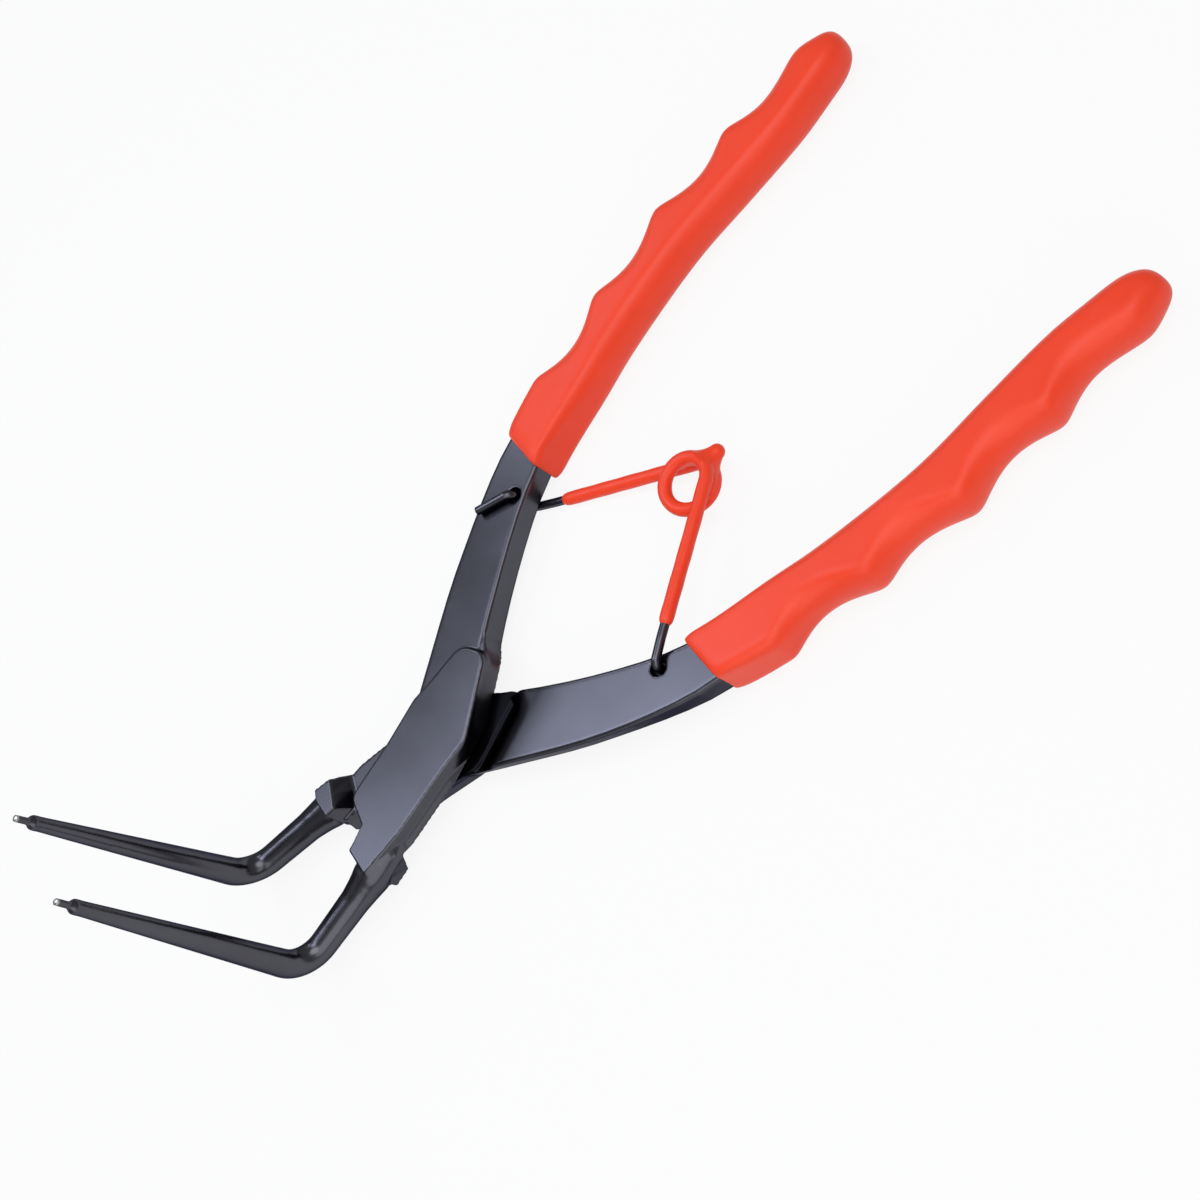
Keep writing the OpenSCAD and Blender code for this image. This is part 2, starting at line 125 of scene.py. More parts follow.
def loft_mesh(name, rings):
    """Closed skin over a row of rings with the same number of points, in millimetres."""
    m, n = len(rings), len(rings[0])
    verts = [np.asarray(p, float) * MM for r in rings for p in r]
    faces = [(j * n + i, j * n + (i + 1) % n, (j + 1) * n + (i + 1) % n, (j + 1) * n + i)
             for j in range(m - 1) for i in range(n)]
    for ring in (0, m - 1):
        c = len(verts)
        verts.append(np.mean([np.asarray(p, float) for p in rings[ring]], axis=0) * MM)
        for i in range(n):
            a, b = ring * n + i, ring * n + (i + 1) % n
            faces.append((b, a, c) if ring == 0 else (a, b, c))
    me = mesh_from(name, verts, faces)
    smooth_shade(me)
    return me


def join_meshes(name, meshes):
    verts, faces, base = [], [], 0
    for me in meshes:
        verts += [tuple(v.co) for v in me.vertices]
        faces += [tuple(base + i for i in p.vertices) for p in me.polygons]
        base += len(me.vertices)
    return mesh_from(name, verts, faces)


def evaluated_mesh(o):
    """A new mesh of the object as its modifiers leave it."""
    bpy.context.view_layer.update()
    dg = bpy.context.evaluated_depsgraph_get()
    return bpy.data.meshes.new_from_object(o.evaluated_get(dg))


def coords(me):
    co = np.empty(len(me.vertices) * 3)
    me.vertices.foreach_get("co", co)
    return co.reshape(-1, 3)


def normals(me):
    co = np.empty(len(me.vertices) * 3)
    me.vertex_normals.foreach_get("vector", co)
    return co.reshape(-1, 3)


def keep_values(me, name, values):
    """Keep one number per point with the mesh, for its material."""
    attribute = me.attributes.new(name, "FLOAT", "POINT")
    attribute.data.foreach_set("value", values.astype(np.float32))


def smoothing(o, name, rounds):
    step = o.modifiers.new(name, "SMOOTH")
    step.factor = 0.5
    step.iterations = rounds
    return step


def fused(name, source, voxel, rounds, wide, shape=None, calm=None):
    """A skin over everything in source, its edges and inner corners rounded as on a forging or a dipped coat.
    shape moves the skin's points before it is rounded, and calm picks points to smooth more. The attribute edge
    holds how far each point stands out of its neighbourhood."""
    o = new_object(name, source)
    o.data.materials.clear()
    skin = o.modifiers.new("skin", "REMESH")
    skin.mode = "VOXEL"
    skin.voxel_size = voxel * MM
    me = evaluated_mesh(o)
    o.modifiers.clear()
    o.data = me
    if shape:
        me.vertices.foreach_set("co", shape(coords(me), normals(me)).ravel())
        me.update()
    if calm:
        group = o.vertex_groups.new(name="calm")
        group.add([int(i) for i in np.flatnonzero(calm(coords(me)))], 1.0, "REPLACE")
        smoothing(o, "calm", CALM_ROUNDS).vertex_group = "calm"
    soft = smoothing(o, "soft", rounds)
    me = evaluated_mesh(o)
    soft.iterations = rounds + wide
    flat = evaluated_mesh(o)
    out = np.einsum("ij,ij->i", coords(me) - coords(flat), normals(me))
    bpy.data.meshes.remove(flat)
    o.modifiers.clear()
    o.data = me
    me.name = name
    smooth_shade(me)
    keep_values(me, "edge", np.clip(out / (voxel * MM), -1, 1))
    return o


# Node helpers
def material(name):
    mat = bpy.data.materials.new(name)
    mat.use_nodes = True
    tree = mat.node_tree
    tree.nodes.clear()
    return mat, tree, tree.nodes.new("ShaderNodeOutputMaterial").inputs["Surface"]


def feed(tree, socket, value):
    """Set a socket to a value, or link it where the value is another node's output."""
    if isinstance(value, bpy.types.NodeSocket):
        tree.links.new(value, socket)
    else:
        socket.default_value = value


def add(tree, kind, inputs=None, **props):
    n = tree.nodes.new(kind)
    for k, v in props.items():
        setattr(n, k, v)
    for k, v in (inputs or {}).items():
        feed(tree, n.inputs[k], v)
    return n


def noise(tree, vector, scale, detail):
    inputs = {"Vector": vector, "Scale": scale, "Detail": detail, "Roughness": 0.55}
    return add(tree, "ShaderNodeTexNoise", inputs).outputs["Fac"]


def ramp(tree, fac, stops):
    n = add(tree, "ShaderNodeValToRGB", {"Fac": fac})
    for element, (position, colour) in zip(n.color_ramp.elements, stops):
        element.position = position
        element.color = (*colour, 1.0)
    return n.outputs["Color"]


def mix_colour(tree, fac, a, b):
    n = add(tree, "ShaderNodeMix", {0: fac}, data_type="RGBA")
    feed(tree, n.inputs[6], a)
    feed(tree, n.inputs[7], b)
    return n.outputs[2]


def maths(tree, op, a, b, clamp=False):
    return add(tree, "ShaderNodeMath", {0: a, 1: b}, operation=op, use_clamp=clamp).outputs[0]


def value_of(tree, name):
    """The numbers that keep_values has left with the mesh."""
    return add(tree, "ShaderNodeAttribute", attribute_name=name).outputs["Fac"]


def bumps(tree, *layers):
    """Normal of bumps on top of each other, each with its height, strength and distance."""
    normal = None
    for height, strength, distance in layers:
        inputs = {"Height": height, "Strength": strength, "Distance": distance}
        if normal is not None:
            inputs["Normal"] = normal
        normal = add(tree, "ShaderNodeBump", inputs).outputs["Normal"]
    return normal


# Materials
STEEL = [(0.3, (0.074, 0.074, 0.086)), (0.7, (0.09, 0.09, 0.106))]
STEEL_TINT = (0.3, 0.3, 0.33, 1)
# Pale steel for edges that stand out: wear, and a painted edge highlight
WORN_AND_HIGHLIT_STEEL = (0.7, 0.71, 0.76, 1)
WORN_AND_HIGHLIT_FROM = 0.3
# Near-black steel for the painted shade in the hollows
SHADED_STEEL = (0.006, 0.006, 0.007, 1)
BARE_STEEL = (0.42, 0.42, 0.41, 1)
PLASTIC = [(0.3, (0.85, 0.052, 0.015)), (0.7, (0.91, 0.062, 0.021))]


def black_steel(name, worn_and_shaded=True):
    """Blackened forged steel: satin, faintly blue, with a cloudy finish and fine grain; on the levers also edges
    made paler as wear and a painted edge highlight, painted shade in the hollows, and bare pin tips.
    """
    mat, t, surface = material(name)
    at = add(t, "ShaderNodeTexCoord").outputs["Object"]
    cloud = noise(t, at, 60.0, 4.0)
    grain = noise(t, at, 2400.0, 2.0)
    stretch = add(t, "ShaderNodeMapping", {"Vector": at, "Scale": (900.0, 120.0, 900.0)}).outputs["Vector"]
    brush = noise(t, stretch, 1.0, 2.0)
    base = ramp(t, cloud, STEEL)
    if worn_and_shaded:
        # Edges that stand out are made paler, as wear and as a painted edge highlight
        wear_and_highlight = maths(t, "MULTIPLY", maths(t, "SUBTRACT", value_of(t, "edge"), WORN_AND_HIGHLIT_FROM), 2.2, True)
        wear_and_highlight = maths(t, "MULTIPLY", wear_and_highlight, maths(t, "ADD", cloud, 0.2), True)
        base = mix_colour(t, wear_and_highlight, base, WORN_AND_HIGHLIT_STEEL)
        # Painted shade: the steel is darkened to near black in the hollow and fades onto the shank's face beside
        # it
        base = mix_colour(t, value_of(t, "hollow"), base, SHADED_STEEL)
        base = mix_colour(t, value_of(t, "bare"), base, BARE_STEEL)
    rough = maths(t, "ADD", maths(t, "MULTIPLY", cloud, 0.08), 0.2)
    rough = maths(t, "ADD", rough, maths(t, "MULTIPLY", brush, 0.03))
    normal = bumps(t, (grain, 0.008, 0.00006), (cloud, 0.08, 0.0002))
    bsdf = add(t, "ShaderNodeBsdfPrincipled", {"Base Color": base, "Metallic": 1.0, "Specular Tint": STEEL_TINT,
                                               "Roughness": rough, "Normal": normal})
    t.links.new(bsdf.outputs["BSDF"], surface)
    return mat


def dipped_plastic(name):
    """Soft dipped plastic: red-orange, softly glossy, with a faint unevenness from the dip."""
    mat, t, surface = material(name)
    at = add(t, "ShaderNodeTexCoord").outputs["Object"]
    cloud = noise(t, at, 45.0, 3.0)
    fine = noise(t, at, 1500.0, 2.0)
    ripple = noise(t, at, 160.0, 2.0)
    base = ramp(t, cloud, PLASTIC)
    rough = maths(t, "ADD", maths(t, "MULTIPLY", ripple, 0.1), 0.34)
    normal = bumps(t, (fine, 0.06, 0.00005), (ripple, 0.12, 0.00025))
    bsdf = add(t, "ShaderNodeBsdfPrincipled", {"Base Color": base, "Roughness": rough, "Normal": normal,
                                               "Specular IOR Level": 0.32, "Subsurface Weight": 0.12,
                                               "Subsurface Radius": (1.0, 0.25, 0.12),
                                               "Subsurface Scale": 0.0012})
    t.links.new(bsdf.outputs["BSDF"], surface)
    return mat


steel = black_steel("black_steel")
wire_steel = black_steel("spring_wire", worn_and_shaded=False)
plastic = dipped_plastic("dipped_plastic")

# Levers: the forged shapes, with rounded edges and bare ends on the pins. What is added to them is worked out in a
# lever's own frame, in millimetres: its handle is at +X, and its own half of the joint lies below z = 0.

# The ramp on which a shank's hollow ends, across the line that the other boss reaches when the handles close
RAMP_AT = np.array([4.45, 23.2])
RAMP_ALONG = np.array([0.3357, -0.942])
RAMP_ACROSS = np.array([0.942, 0.3357])
RAMP_ENDS = (27.0, -9.0)
RAMP_RISE = 3.5
RAMP_TURN = math.radians(48)
RAMP_START, RAMP_FLOOR = 0.3, -0.25
RAMP_FADE_Y, RAMP_FADE_LEN = 19.5, 4.5
# Height from which up the shank's sides give way with its face
PRESS_FROM = -0.3
# How far across the ramp the painted shade of the hollow ends, over what length it fades on the shank's face, its
# share of the full painted shade there, and the distance from the pivot at which it is cut off
SHADE_END = 17.0
SHADE_FADE = 9.0
SHADE_SHARE = 0.72
SHADE_REACH = 40.0
# The boss's straight edge beside the handles
EDGE_AT = np.array([-7.2, 7.6])
EDGE_ALONG = np.array([0.623, 0.782])
EDGE_OUT = np.array([-0.782, 0.623])
# The boss's flank: distance along the edge, then how far out and how high its foot and its rim lie
FLANK = [(0, -1.7, -4.4, -0.3, -0.1), (2, -0.3, -4.4, 0.95, -0.1), (4.5, 0.22, -4.4, 1.6, -0.1),
         (15.6, 0.22, -4.4, 1.6, -0.1), (18.5, -0.6, -3.4, 1.6, -0.1), (20, -1.2, -3.1, 1.1, 0.4),
         (22, -1.8, -3.0, -0.6, 1.8), (24.5, -2.4, -2.9, -2.3, 3.1)]
FLANK_BACK = -3.0
# The nose from its root to its bend, and the swelling at the root: distance along, radius, and depth of its centre
ROOT_X, ROOT_Y = 10.1, 25.0
BEND_X, BEND_Y = 14.3, 54.0
SWELLING = [(-10, 1.5, 0.8), (-6, 3.0, 0.8), (-3, 3.9, 0.7), (0, 4.3, 0.5), (3.6, 4.3, 0.45), (4.6, 4.2, 0.4),
            (6, 3.95, 0.25), (8, 3.68, 0.1), (10, 3.46, 0.02), (12, 3.2, 0)]
UNDER_BOSS = -0.3
NOSE_START, NOSE_TOP = -31.5, 68.5
BARE_TIP, BARE_FADE = 0.6, 0.3


def own_frame(co, side):
    """Points of the part, in metres, in a lever's own frame. side is 1 for the rear lever and -1 for the front."""
    return (co / MM - np.array([0, 0, MID])) * np.array([side, 1, side])


def part_frame(own, side):
    """The way back from a lever's own frame."""
    return (own * np.array([side, 1, side]) + np.array([0, 0, MID])) * MM


def placed(me, side):
    """A copy of a piece that was worked out in a lever's own frame, in the part's frame."""
    out = me.copy()
    co = coords(out) * np.array([side, 1.0, side]) + np.array([0.0, 0.0, MID * MM])
    out.vertices.foreach_set("co", co.ravel())
    out.update()
    return out


def shank_ring(y, steps=4):
    """Section of a shank without its hollow, its sides leaning apart towards +Z."""
    x0, x1 = max(centre_x(y) - half_w(y), SHANK_INNER_X), centre_x(y) + half_w(y)
    lean_in = float(np.interp(y, [22.4, 33.6], [0.45, 0]))
    lean_out = float(np.interp(y, [34.6, GRIP_START], [0.9, 0]))
    h, r = FACE, SHANK_EDGE_R
    ring = []
    for q in range(4):
        for i in range(steps + 1):
            t = math.pi / 2 * (q + i / steps)
            z = (h - r if q < 2 else r - h) + r * math.sin(t)
            x = x1 - r + lean_out * z / h if q in (0, 3) else x0 + r - lean_in * z / h
            ring.append((x + r * math.cos(t), y, z))
    return ring


def ramp_profile(steps=12):
    """Heights over the distance across: an S of two equal arcs up to the shank's face."""
    r = RAMP_RISE / (2 * (1 - math.cos(RAMP_TURN)))
    low = [(r * math.sin(t), r * (1 - math.cos(t))) for t in np.linspace(0, RAMP_TURN, steps)]
    high = [(2 * low[-1][0] - x, 2 * low[-1][1] - z) for x, z in reversed(low[:-1])]
    return [(RAMP_START + x, RAMP_FLOOR + z) for x, z in low + high]


def ramp_fill():
    """The part of the shank that lies under the ramp."""
    section = [(0.0, -2.0)] + ramp_profile() + [(14.0, 3.3), (14.0, -2.0)]
    rings = []
    for t in RAMP_ENDS:
        at = RAMP_AT + RAMP_ALONG * t
        rings.append([(at[0] + RAMP_ACROSS[0] * x, at[1] + RAMP_ACROSS[1] * x, z) for x, z in section])
    bar = new_object("bar", loft_mesh("bar", [shank_ring(y) for y in np.linspace(32, 2, 31)]))
    under = new_object("under", loft_mesh("under", rings))
    cut = bar.modifiers.new("cut", "BOOLEAN")
    cut.operation = "INTERSECT"
    cut.solver = "EXACT"
    cut.object = under
    out = evaluated_mesh(bar)
    bpy.data.objects.remove(bar)
    bpy.data.objects.remove(under)
    return out


def flank():
    """The boss's flank beside the handles, which spreads so that it runs on from the shank's inner side."""
    run, *columns = zip(*FLANK)
    rings = []
    for t in np.linspace(run[0], run[-1], 70):
        foot_n, foot_z, rim_n, rim_z = (np.interp(t, run, column) for column in columns)
        ring = []
        for n, z in ((FLANK_BACK, foot_z), (foot_n, foot_z), (rim_n, rim_z), (FLANK_BACK, rim_z)):
            at = EDGE_AT + EDGE_ALONG * t + EDGE_OUT * n
            ring.append((at[0], at[1], z))
        rings.append(ring)
    return loft_mesh("flank", rings)


def nose_root(sides=48):
    """The swelling that carries the boss and its flank over into the round nose."""
    turn = math.atan2(BEND_X - ROOT_X, BEND_Y - ROOT_Y)
    along = np.array([-math.sin(turn), -math.cos(turn), 0.0])
    side = np.array([-along[1], along[0], 0.0])
    up = np.array([0, 0, 1.0])
    turns = [2 * math.pi * k / sides for k in range(sides)]
    rings = []
    for u, r, drop in SWELLING:
        c = np.array([-ROOT_X, -ROOT_Y, -drop]) + along * u
        ring = [c + r * (math.cos(a) * side + math.sin(a) * up) for a in turns]
        rings.append([(x, y, min(z, UNDER_BOSS) if u < 1 else z) for x, y, z in ring])
    return loft_mesh("nose_root", rings)


def lower_to_ramp(own, up):
    """Lower the shank's face to the ramp, and the top of its sides with it."""
    xs, zs = zip(*ramp_profile())
    across = (own[:, :2] - RAMP_AT) @ RAMP_ACROSS
    limit = np.interp(across, xs, zs)
    limit += (FACE - limit) * np.clip((own[:, 1] - RAMP_FADE_Y) / RAMP_FADE_LEN, 0, 1)
    at_ramp = (across > xs[0]) & (across < xs[-1]) & (own[:, 1] > -3) & (own[:, 1] < 36)
    at_ramp &= own[:, 2] > PRESS_FROM
    z = own[:, 2]
    pressed = PRESS_FROM + (z - PRESS_FROM) * (limit - PRESS_FROM) / (FACE - PRESS_FROM)
    top = np.clip((up - 0.1) / 0.4, 0, 1)
    own[:, 2] = np.where(at_ramp, top * np.minimum(z, limit) + (1 - top) * pressed, z)


def draw_corner_in(own):
    """Draw the boss's upper corner in behind the other handle's edge, over the last 2 mm before it."""
    run, n = (own[:, :2] - EDGE_AT) @ EDGE_ALONG, (own[:, :2] - EDGE_AT) @ EDGE_OUT
    edge = np.interp(run, [9, 15, 24], [0.4, -0.4, -0.6])
    corner = (run > 9) & (run < 24) & (n > edge - 2) & (own[:, 2] < 0.3)
    own[:, :2] -= np.where(corner, (n - edge + 2) * (1 - 2 / (2.4 - edge)), 0)[:, None] * EDGE_OUT


def hollowed(side):
    """Shaping of a lever's skin. Only the rear boss has its corner behind a handle that shows."""
    def shape(co, nrm):
        own = own_frame(co, side)
        lower_to_ramp(own, nrm[:, 2] * side)
        if side > 0:
            draw_corner_in(own)
        return part_frame(own, side)

    return shape


def nose_part(co):
    """The round of the noses, without their tips."""
    return (co[:, 1] < NOSE_START * MM) & (co[:, 2] < NOSE_TOP * MM)


def hollow_shade(own, up):
    """How much painted shade each point gets: full on the hollow's floor, fading on the shank's face beyond the
    ramp.
    """
    x, y, z = own.T
    deep = np.clip((3.2 - z) / 2.4, 0, 1) * np.clip((z + 0.8) / 0.5, 0, 1)
    across = (own[:, :2] - RAMP_AT) @ RAMP_ACROSS
    beyond = np.clip((SHADE_END - across) / SHADE_FADE, 0, 1) * (across > 0) * np.clip(z - 2, 0, 1)
    near = (up > 0.1) & (x > SHANK_INNER_X) & (np.hypot(x, y) < SHADE_REACH)
    return np.maximum(deep, SHADE_SHARE * beyond ** 2) * near


def lever(node, name, body, side, added):
    forged = join_meshes(name, [nodes[node].data] + [placed(me, side) for me in added])
    o = fused(name, forged, **LEVER_SKIN, shape=hollowed(side), calm=nose_part)
    co = coords(o.data)
    tip = co[:, 2].max() - BARE_TIP * MM
    # The hollow values hold the painted shade of the hollow and of the shank's face beside it
    keep_values(o.data, "hollow", hollow_shade(own_frame(co, side), normals(o.data)[:, 2] * side))
    keep_values(o.data, "bare", np.clip((co[:, 2] - tip) / (BARE_FADE * MM), 0, 1))
    o.data.materials.append(steel)
    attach(o, body)
    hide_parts(node)


fill, spread, root = ramp_fill(), flank(), nose_root()
lever("front_lever", "front_lever_forging", "front", -1, [fill, spread, root])
lever("rear_lever", "rear_lever_forging", "rear", 1, [fill, root])

# Grips: dipped over the tangs, with finger bumps on the outer edge
GRIP_T = 11.6
GRIP_IN = 6.35
GRIP_OUT = 7.6
GROOVE = 3.2
START_GROOVE = 1.8
PITCH = 22.6
BUMP_Y = GRIP_START + 12.8
LAST_GROOVE = BUMP_Y + 3.5 * PITCH
LIP_LEN = 3.5
END_LEN = 13.0
SOFT_LEN = 30.0
# Lengths over which the end rounds off on the inner edge, the outer edge and the faces
TAPER_IN, TAPER_OUT, TAPER_FACE = 12.5, 24.5, 10.5


def taper(y, length):
    """Share of the full size that is left at y, where the end rounds off over a length."""
    u = max(1 - (HANDLE_LEN - y) / length, 0.0)
    return max(1 - u ** 3, 1e-5) ** (1 / 3)


def lip(y):
    """Share of the coat's thickness at y, behind the rounded lip at its start."""
    u = min((y - GRIP_START) / LIP_LEN, 1.0)
    return 0.5 + 0.5 * math.sqrt(max(1 - (1 - u) ** 2, 0.0))


def wave(y):
    """Round grooves between bumps that come to a soft crest, from 0 at a bump to about 0.8."""
    s = math.sin(math.pi * (y - BUMP_Y) / PITCH)
    return math.sqrt(s * s + 0.05) - 0.224


def groove(y):
    """Depth of the outer edge below the finger bumps."""
    if y < BUMP_Y:
        return START_GROOVE * (BUMP_Y - y) / (BUMP_Y - GRIP_START)
    if y < LAST_GROOVE:
        return GROOVE * wave(y)
    return GROOVE * 0.5 * (wave(y) + wave(LAST_GROOVE))


def grip_ring(y, steps=14):
    """Section of a grip: edges that are sharp at its start and soften along it."""
    k = lip(y)
    cx = centre_x(y)
    ys = min(y, TANG_END)
    a = (centre_x(ys) - half_w(ys)) * (1 - k) + (cx - GRIP_IN * taper(y, TAPER_IN)) * k
    b = (centre_x(ys) + half_w(ys)) * (1 - k) + (cx + (GRIP_OUT - groove(y)) * taper(y, TAPER_OUT)) * k
    h = FACE * (1 - k) + GRIP_T / 2 * taper(y, TAPER_FACE) * k
    soft = min((y - GRIP_START) / SOFT_LEN, 1.0)
    most = 0.475 * (b - a)
    r_in = min(1 + 3 * soft, most)
    r_out = min(1.4 + 1.8 * soft + 0.8 * groove(y), most)
    rz = min(1 + (GRIP_T / 2 - 1) * soft, 0.95 * h)
    ring = []
    for q in range(4):
        outer = q in (0, 3)
        r = r_out if outer else r_in
        x = b - r if outer else a + r
        z = h - rz if q < 2 else rz - h
        for i in range(steps + 1):
            t = math.pi / 2 * (q + i / steps)
            ring.append((x + r * math.cos(t), y, z + rz * math.sin(t)))
    return ring


def grip(name, side, body, node):
    """A grip, with its sections closer together at the lip and at the rounded end."""
    end_y = HANDLE_LEN - END_LEN
    ys = [GRIP_START + LIP_LEN * (1 - math.cos(math.pi / 2 * i / 12)) for i in range(13)]
    ys += list(np.linspace(GRIP_START + LIP_LEN, end_y, 140)[1:])
    ys += [end_y + END_LEN * math.sin(math.pi / 2 * i / 30) for i in range(1, 31)]
    rings = [[(side * x, yy, side * z + MID) for x, yy, z in grip_ring(y)] for y in reversed(ys)]
    o = fused(name, loft_mesh(name, rings), **GRIP_SKIN)
    o.data.materials.append(plastic)
    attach(o, body)
    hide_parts(node)


grip("left_grip_coat", -1, "front", "left_grip")
grip("right_grip_coat", 1, "rear", "right_grip")

# Spring: the wire's line, worked out as in the part
HOLE_Y = 49.2
HOLE_X = centre_x(HOLE_Y) - 3.3
COIL = np.array([1.3, 78.5])
COIL_R = 5.5
WIRE_R = 1.0
COAT_R = 1.55
LEG_Z = FACE + 0.35 + WIRE_R
BEND_R = 1.6
BARE_WIRE = 7.4
HIDDEN_WIRE = 4.0
HOOK_LEN = 9.0
HOOK_TURN = math.radians(16)
LEG_DIP, DIP_LEN = 0.1, 1.5
LINE_STEP = 0.6
TUBE_SIDES = 24
COAT_END = 2.2
WEB_R = 1.3
DRIP_LEN = 5.0


def leg_angle(reach):
    """Where on the coil a leg leaves for a hole that lies this far beside it, and the leg's length."""
    d = math.hypot(reach, HOLE_Y - COIL[1])
    return math.atan2(HOLE_Y - COIL[1], reach) + math.acos(COIL_R / d), math.sqrt(d * d - COIL_R ** 2)


RIGHT, RIGHT_LEN = leg_angle(HOLE_X - COIL[0])
LEFT, LEFT_LEN = leg_angle(HOLE_X + COIL[0])
COIL_END = 3 * math.pi - LEFT
TURN = COIL_END - RIGHT
COIL_Z = (2 * COAT_R + 0.45) * TURN / (4 * math.pi)


def leg_line(length):
    """The wire from the coil to its hook's end, for a handle at +X: distance along, height, and hook's run."""
    pts = []
    for s in np.arange(0, length - BEND_R, LINE_STEP):
        if s < length - BARE_WIRE:
            z = COIL_Z + (LEG_Z - LEG_DIP - COIL_Z) * s / (length - BARE_WIRE)
        else:
            z = LEG_Z - LEG_DIP * max(0.0, 1 - (s - length + BARE_WIRE) / DIP_LEN)
        pts.append((s, z, 0.0))
    for a in np.linspace(0, math.pi / 2, 10):
        pts.append((length - BEND_R * (1 - math.sin(a)), LEG_Z - BEND_R * (1 - math.cos(a)), 0.0))
    for z in np.linspace(LEG_Z - BEND_R, BEND_R - LEG_Z, 9)[1:-1]:
        pts.append((length, z, 0.0))
    for a in np.linspace(0, math.pi / 2, 10):
        pts.append((length, BEND_R * (1 - math.sin(a)) - LEG_Z, BEND_R * (1 - math.cos(a))))
    for h in np.linspace(BEND_R, HOOK_LEN, 12)[1:]:
        pts.append((length, -LEG_Z, h))
    return pts


def leg_points(x, angle, length):
    """Points of a leg that leaves a coil at x, and a direction across the wire at each."""
    foot = np.array([x + COIL_R * math.cos(angle), COIL[1] + COIL_R * math.sin(angle)])
    along = np.array([math.sin(angle), -math.cos(angle)])
    hook = np.array([math.sin(angle - HOOK_TURN), -math.cos(angle - HOOK_TURN)])
    pts, nrm = [], []
    for s, z, h in leg_line(length):
        p = foot + along * s + hook * h
        pts.append((p[0], p[1], z))
        a = angle - (HOOK_TURN if h > 0 else 0)
        nrm.append((math.cos(a), math.sin(a), 0.0))
    return np.array(pts), np.array(nrm)


def round_coil(angles, heights):
    """Points round the coil, and the direction out of it at each."""
    nrm = np.array([(math.cos(a), math.sin(a), 0.0) for a in angles])
    pts = [(COIL[0] + COIL_R * n[0], COIL[1] + COIL_R * n[1], z) for n, z in zip(nrm, heights)]
    return np.array(pts), nrm


HALF_TURN = np.array([-1.0, 1.0, -1.0])
right_pts, right_nrm = leg_points(COIL[0], RIGHT, RIGHT_LEN)
left_pts, left_nrm = (v * HALF_TURN for v in leg_points(-COIL[0], LEFT, LEFT_LEN))
coil_angles = np.linspace(RIGHT, COIL_END, 150)
coil_pts, coil_nrm = round_coil(coil_angles, [COIL_Z * (1 - 2 * (a - RIGHT) / TURN) for a in coil_angles])


def tube_rings(pts, nrm, radii, sides=TUBE_SIDES):
    """Rings round a line of points, in the part's frame."""
    rings = []
    for i, p in enumerate(pts):
        t = pts[min(i + 1, len(pts) - 1)] - pts[max(i - 1, 0)]
        t = t / np.linalg.norm(t)
        n = nrm[i] - np.dot(nrm[i], t) * t
        n = n / np.linalg.norm(n)
        b = np.cross(n, t)
        turns = [2 * math.pi * k / sides for k in range(sides)]
        centre = p + np.array([0, 0, MID])
        rings.append([centre + radii[i] * (math.cos(a) * n + math.sin(a) * b) for a in turns])
    return rings


def wire_end(name, pts, nrm, length, body, node):
    """The bare wire from just inside its coating to the end of its hook, where its rim is rounded."""
    keep = int((length - BARE_WIRE - HIDDEN_WIRE) / LINE_STEP)
    p, n = pts[keep:], nrm[keep:]
    radii = [WIRE_R] * len(p)
    t = p[-1] - p[-2]
    t = t / np.linalg.norm(t)
    for share in (0.97, 0.9, 0.78):
        p = np.vstack([p, p[-1] + t * 0.08])
        n = np.vstack([n, n[-1]])
        radii.append(WIRE_R * share)
    o = new_object(name, loft_mesh(name, tube_rings(p, n, radii)))
    o.data.materials.append(wire_steel)
    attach(o, body)
    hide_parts(node)


wire_end("left_spring_wire", left_pts, left_nrm, LEFT_LEN, "spring_coil_side", "spring_coil")
wire_end("right_spring_wire", right_pts, right_nrm, RIGHT_LEN, "spring_free_side", "spring_leg")


def coated_tube():
    """The coat from one leg's end over the coil to the other's, a little uneven and thin at its ends."""
    r_keep = int((RIGHT_LEN - BARE_WIRE) / LINE_STEP)
    l_keep = int((LEFT_LEN - BARE_WIRE) / LINE_STEP)
    pts = np.vstack([right_pts[:r_keep][::-1], coil_pts[1:-1], left_pts[:l_keep]])
    nrm = np.vstack([right_nrm[:r_keep][::-1], coil_nrm[1:-1], left_nrm[:l_keep]])
    run = np.concatenate([[0], np.cumsum(np.linalg.norm(np.diff(pts, axis=0), axis=1))])
    thin = WIRE_R * 0.86
    radii = []
    for s in run:
        e = min(s, run[-1] - s)
        r = COAT_R * (0.985 + 0.015 * math.sin(s * 0.9))
        if e < COAT_END:
            r = thin + (r - thin) * math.sqrt(max(1 - (1 - e / COAT_END) ** 2, 0))
        radii.append(r)
    return loft_mesh("coat", tube_rings(pts, nrm, radii))


def coil_web():
    """Coating that fills the groove between the coil's turns where they lie on each other."""
    angles = np.linspace(RIGHT - 0.5, COIL_END - 2 * math.pi + 0.5, 60)
    pts, nrm = round_coil(angles, [0.0] * len(angles))
    return loft_mesh("web", tube_rings(pts, nrm, [WEB_R] * len(pts)))


def coil_drip():
    """The drip that hardened on top of the coil: a wide foot and a round tip."""
    def radius(d):
        body = 1.68 + 2.3 * max(1 - d / 4.2, 0) ** 2
        return body * math.sqrt(max(1 - max((d - 3.4) / 1.62, 0) ** 2, 0.01))

    run = np.linspace(0, DRIP_LEN, 26)
    pts = np.array([(COIL[0] - 0.3, COIL[1] + COIL_R + 0.2 + d, 0.0) for d in run])
    nrm = np.array([(1.0, 0.0, 0.0)] * len(pts))
    return loft_mesh("drip", tube_rings(pts, nrm, [radius(d) for d in run], 32))


coating = join_meshes("spring_coat", [coated_tube(), coil_web(), coil_drip()])
spring_coat = fused("spring_coat", coating, **COAT_SKIN)
spring_coat.data.materials.append(plastic)
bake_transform(spring_coat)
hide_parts("coil_coating", "leg_coating")

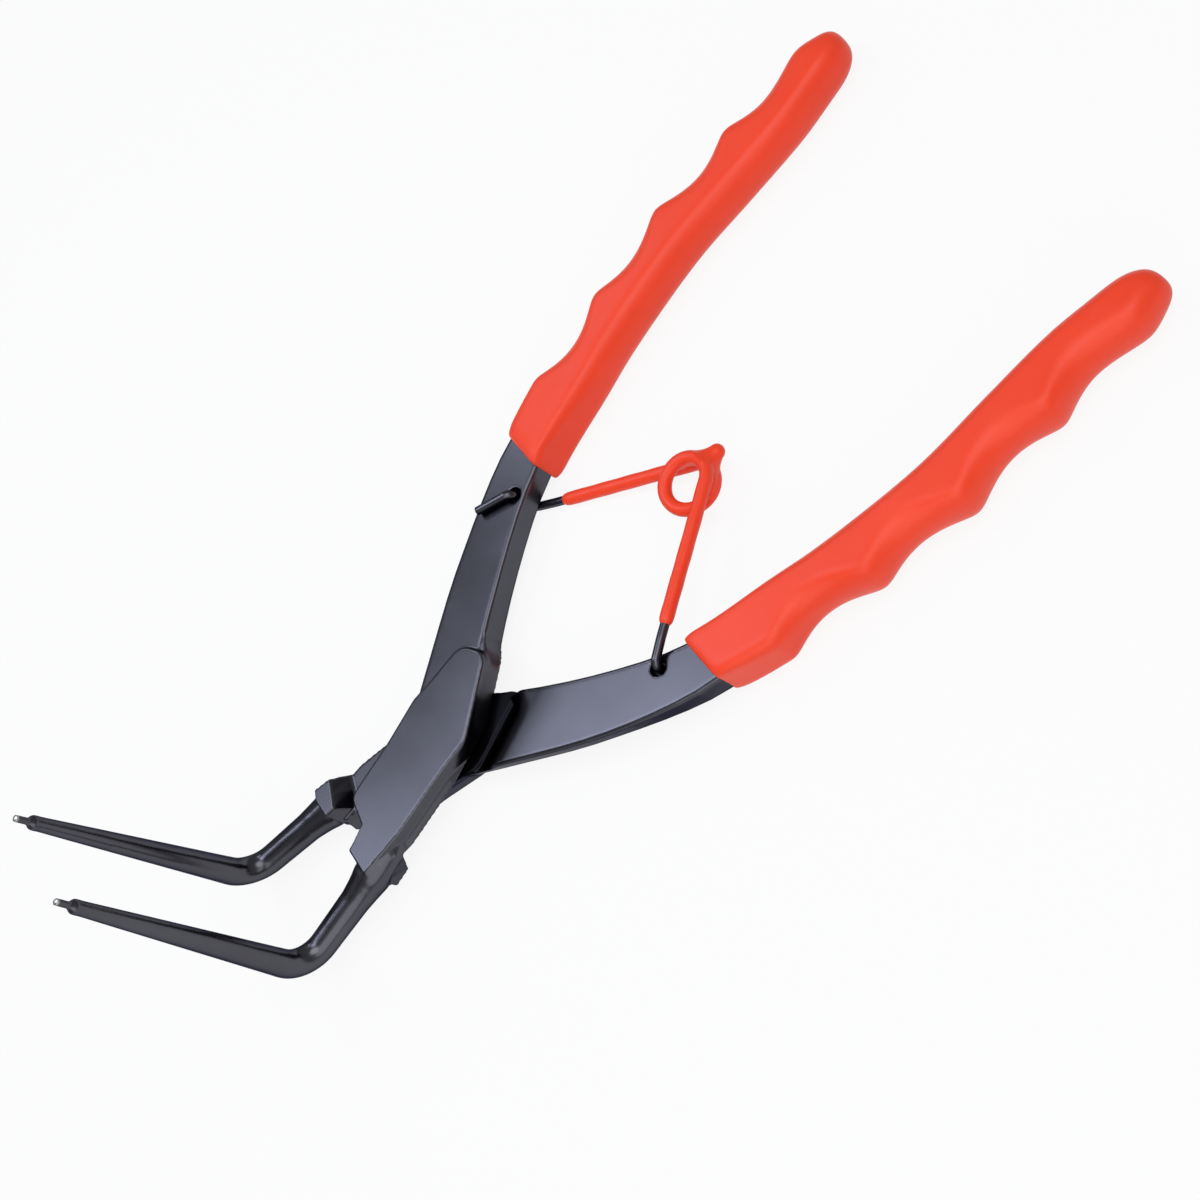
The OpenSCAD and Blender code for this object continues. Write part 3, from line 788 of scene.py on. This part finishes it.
# Rivet: seen only from behind, its flush head turned smooth. Radius and height from the back of the joint
RIVET = [(0.02, 0.0), (3.2, 0.0), (4.75, 0.02), (4.92, 0.08), (4.9, 0.2), (3.5, 1.5), (3.5, 8.4), (3.3, 8.5),
         (0.02, 8.5)]


def rivet(sides=96):
    turns = [2 * math.pi * k / sides for k in range(sides)]
    rings = [[(r * math.cos(a), r * math.sin(a), z) for a in turns] for r, z in reversed(RIVET)]
    o = new_object("pivot_rivet_head", loft_mesh("pivot_rivet_head", rings))
    o.data.materials.append(wire_steel)
    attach(o, "front")
    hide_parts("pivot_rivet")


rivet()

# Stage: a plain pale floor under the tool, soft lamps and an even surround, in metres
FLOOR_HALF = 3.0
FLOOR_GAP = 0.0002
FLOOR_GLOW = 0.88
SURROUND, SURROUND_STRENGTH = (0.97, 0.98, 1.0, 1), 0.32
COOL = (0.92, 0.98, 1.14)
WHITE = (1, 1, 1)
CAMERA_AT = (0.24186, 0.11638, 0.31754)
CAMERA_TURN = (21.571, 32.397, 52.459)


def pale_floor():
    """A matte floor that is seen, also in the steel, as nearly white without lighting the object more."""
    mat, t, surface = material("pale_floor")
    matte = add(t, "ShaderNodeBsdfDiffuse", {"Color": (0.8, 0.8, 0.8, 1)})
    glow = add(t, "ShaderNodeEmission", {"Color": (1, 1, 1, 1), "Strength": 1.0})
    rays = add(t, "ShaderNodeLightPath").outputs
    seen = maths(t, "MAXIMUM", rays["Is Camera Ray"],
                 maths(t, "MAXIMUM", rays["Is Glossy Ray"], rays["Is Transmission Ray"]))
    share = maths(t, "MULTIPLY", seen, FLOOR_GLOW)
    mixed = add(t, "ShaderNodeMixShader", {0: share, 1: matte.outputs[0], 2: glow.outputs[0]})
    t.links.new(mixed.outputs[0], surface)
    return mat


floor_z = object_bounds()[0][2] - FLOOR_GAP
corners = [(x * FLOOR_HALF, y * FLOOR_HALF, floor_z) for x, y in ((-1, -1), (1, -1), (1, 1), (-1, 1))]
floor = new_object("floor", mesh_from("floor", corners, [(0, 1, 2, 3)]))
floor.data.materials.append(pale_floor())

world = bpy.data.worlds.new("surround")
world.use_nodes = True
world.node_tree.nodes["Background"].inputs["Color"].default_value = SURROUND
world.node_tree.nodes["Background"].inputs["Strength"].default_value = SURROUND_STRENGTH
scene.world = world


def lamp(name, place, aim, size, radiance, colour):
    """A round lamp whose brightness stays the same when its size changes."""
    data = bpy.data.lights.new(name, "AREA")
    data.shape = "DISK"
    data.size = size
    data.energy = radiance * math.pi * math.pi * size * size / 4
    data.color = colour
    o = new_object(name, data)
    o.location = place
    o.rotation_euler = (Vector(aim) - Vector(place)).to_track_quat("-Z", "Y").to_euler()


lamp("key", (-0.2, -0.1, 0.5), (0.02, 0.04, 0.0), 0.24, 4.2, COOL)
lamp("side_key", (-0.53, 0.03, 0.5), (-0.03, 0.05, 0.0), 0.15, 5.5, COOL)
lamp("low_key", (-0.355, -0.3, 0.5), (-0.01, 0.0, 0.0), 0.14, 4.6, COOL)
lamp("overhead", (0.28, 0.25, 0.9), (0.0, 0.05, 0.0), 0.8, 2.4, WHITE)
lamp("fill", (0.55, -0.12, 0.4), (0.0, 0.06, 0.0), 0.7, 1.3, WHITE)

cam_data = bpy.data.cameras.new("camera")
cam_data.sensor_width = 36.0
cam_data.lens = 57.0
cam_data.clip_start = 0.01
cam = new_object("camera", cam_data)
cam.location = CAMERA_AT
cam.rotation_mode = "XYZ"
cam.rotation_euler = [math.radians(a) for a in CAMERA_TURN]
scene.camera = cam
scene.view_settings.view_transform = "Standard"
